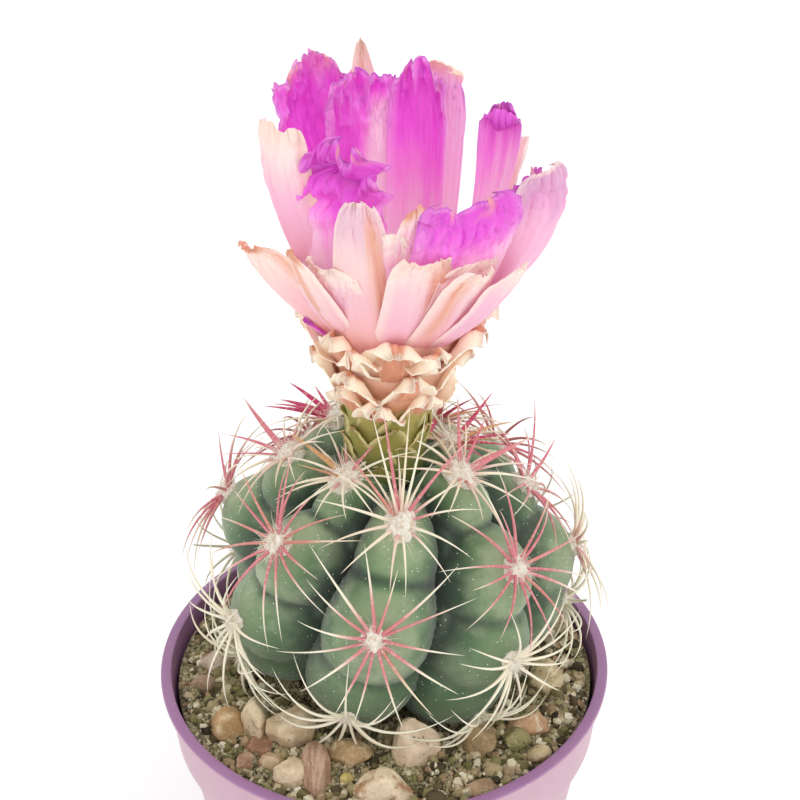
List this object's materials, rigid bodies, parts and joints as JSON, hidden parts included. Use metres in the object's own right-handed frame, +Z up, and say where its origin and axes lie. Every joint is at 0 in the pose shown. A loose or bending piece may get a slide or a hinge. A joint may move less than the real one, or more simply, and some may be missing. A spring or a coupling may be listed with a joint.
{
  "type": "potted round cactus",
  "caption": "Round ribbed cactus with curved spines and one fading magenta flower, in gritty soil in a small tapered round nursery pot that stands on its foot ring.",
  "frame": {"origin": "centre of the pot's foot, on the surface it stands on", "axes": "+Z up along the pot's axis, -Y towards the front of the flower"},
  "size_m": [0.085, 0.085, 0.1875],
  "materials": {
    "pot_plastic": "smooth, slightly translucent moulded plastic, lilac wall and purple lip",
    "soil": "matt gritty soil with fine gravel and a moss tint",
    "cactus_skin": "waxy blue-green skin with pale specks",
    "flower_tube": "green fleshy base under dry papery scales",
    "petal": "thin silky petal, magenta fading to pink",
    "tepal": "thin pale pink petal with peach stripe",
    "spines": "hard smooth spines, rose at the base and cream at the tip, on cream wool",
    "stone": "worn matt pebble"
  },
  "bodies": {
    "root": {"cactus_body": "cactus_skin", "flower_tube": "flower_tube", "petal_back": "petal", "petal_back_left": "petal", "petal_back_right": "petal", "petal_front_right": "petal", "petal_left_folded": "petal", "petal_right": "petal", "petal_right_back": "petal", "pot": "pot_plastic", "soil": "soil", "spine_cluster_rib1_tier1": "spines", "spine_cluster_rib1_tier2": "spines", "spine_cluster_rib1_tier3": "spines", "spine_cluster_rib2_tier1": "spines", "spine_cluster_rib2_tier2": "spines", "spine_cluster_rib2_tier3": "spines", "spine_cluster_rib2_tier4": "spines", "spine_cluster_rib3_tier1": "spines", "spine_cluster_rib3_tier2": "spines", "spine_cluster_rib3_tier3": "spines", "spine_cluster_rib4_tier1": "spines", "spine_cluster_rib4_tier2": "spines", "spine_cluster_rib4_tier3": "spines", "spine_cluster_rib4_tier4": "spines", "spine_cluster_rib5_tier1": "spines", "spine_cluster_rib5_tier2": "spines", "spine_cluster_rib5_tier3": "spines", "spine_cluster_rib5_tier4": "spines", "spine_cluster_rib6_tier1": "spines", "spine_cluster_rib6_tier2": "spines", "spine_cluster_rib6_tier3": "spines", "spine_cluster_rib7_tier1": "spines", "spine_cluster_rib7_tier2": "spines", "spine_cluster_rib7_tier3": "spines", "spine_cluster_rib8_tier1": "spines", "spine_cluster_rib8_tier2": "spines", "spine_cluster_rib8_tier3": "spines", "stone_amber_left": "stone", "stone_brown_oval": "stone", "stone_oval_front": "stone", "stone_pale_cube": "stone", "stone_pitted_front": "stone", "stone_porous_left": "stone", "stone_red_right": "stone", "stone_streaked_long": "stone", "stone_tall_right": "stone", "stone_teardrop_left": "stone", "tepal_back": "tepal", "tepal_back_right": "tepal", "tepal_front": "tepal", "tepal_front_left": "tepal", "tepal_front_right": "tepal", "tepal_left": "tepal", "tepal_left_inner": "tepal", "tepal_left_low": "tepal", "tepal_right": "tepal", "tepal_right_back": "tepal", "tepal_right_low": "tepal"}
  },
  "joints": []
}
